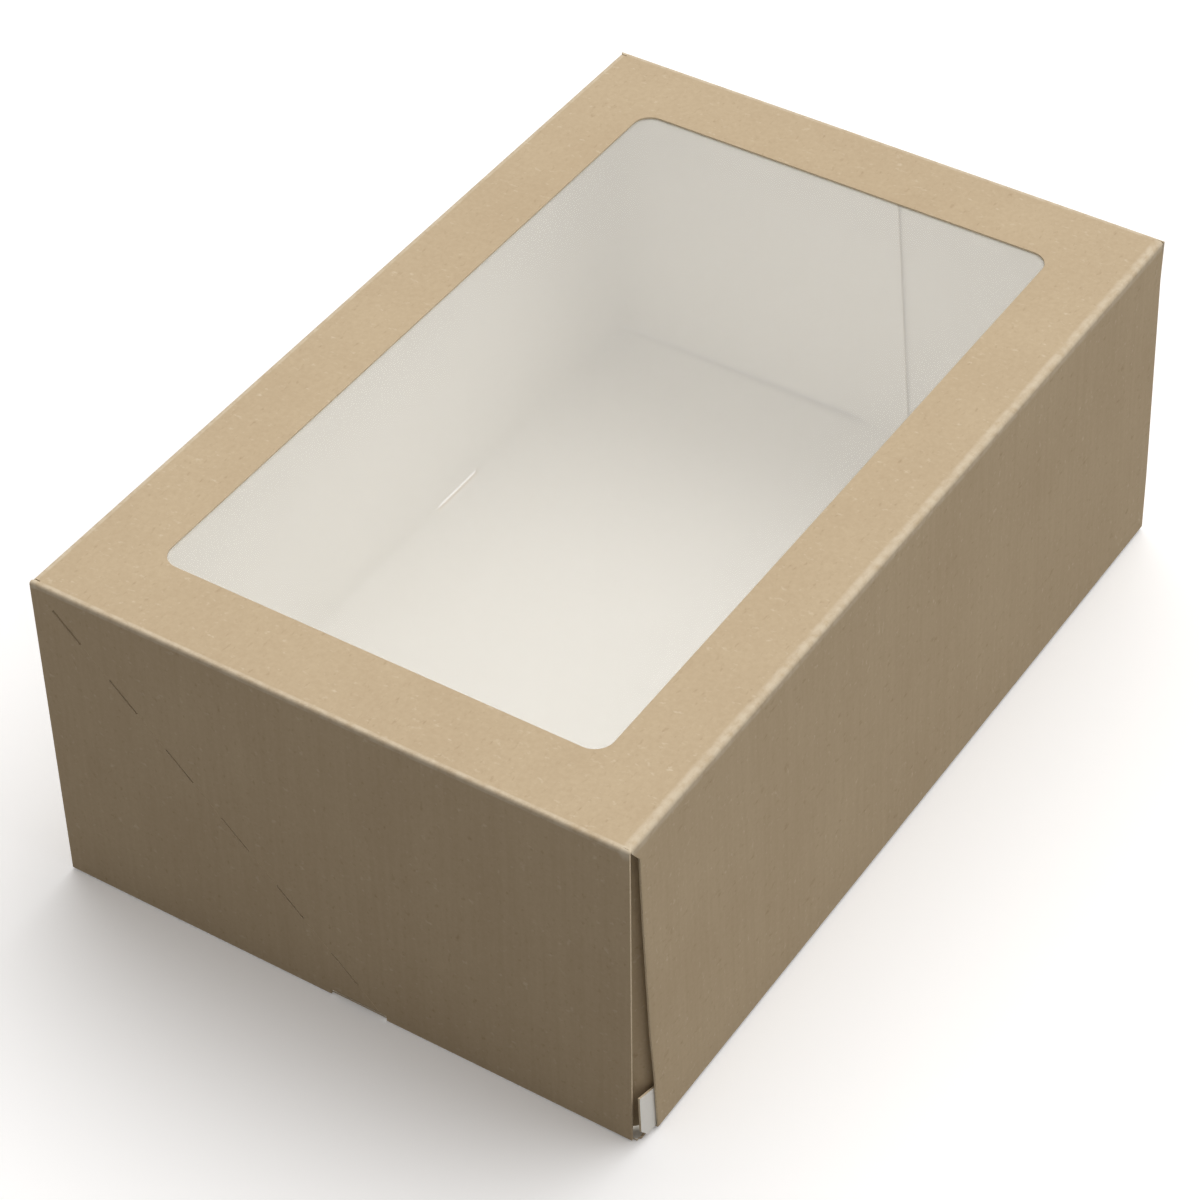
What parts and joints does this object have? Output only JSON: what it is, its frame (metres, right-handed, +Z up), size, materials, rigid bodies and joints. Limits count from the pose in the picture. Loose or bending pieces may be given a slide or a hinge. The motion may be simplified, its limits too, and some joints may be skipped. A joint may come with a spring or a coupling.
{
  "type": "windowed cake box",
  "caption": "Folded board cake box, kraft outside and white inside: open tray, hinged lid with clear window and full-depth short walls, and a hinged front flap.",
  "frame": {"origin": "centre of the base's underside, between the outer faces of the short walls and of the back wall and the front fold", "axes": "+X along the box's length, +Y from the front flap to the back wall, +Z up"},
  "size_m": [0.25, 0.1632, 0.093],
  "materials": {
    "kraft_board": "uncoated kraft outside, white inside",
    "clear_film": "clear glossy film"
  },
  "bodies": {
    "tray": {"tray": "kraft_board"},
    "lid": {"lid": "kraft_board", "window_film": "clear_film"},
    "front_flap": {"front_flap": "kraft_board"}
  },
  "joints": [
    {"name": "lid_hinge", "type": "hinge", "parent": "tray", "child": "lid", "pos_m": [0, 0.0792, 0.0922], "axis": [-1, 0, 0], "range_deg": [0, 110]},
    {"name": "flap_hinge", "type": "hinge", "parent": "lid", "child": "front_flap", "pos_m": [0, -0.079, 0.092], "axis": [-1, 0, 0], "range_deg": [0, 110]}
  ]
}
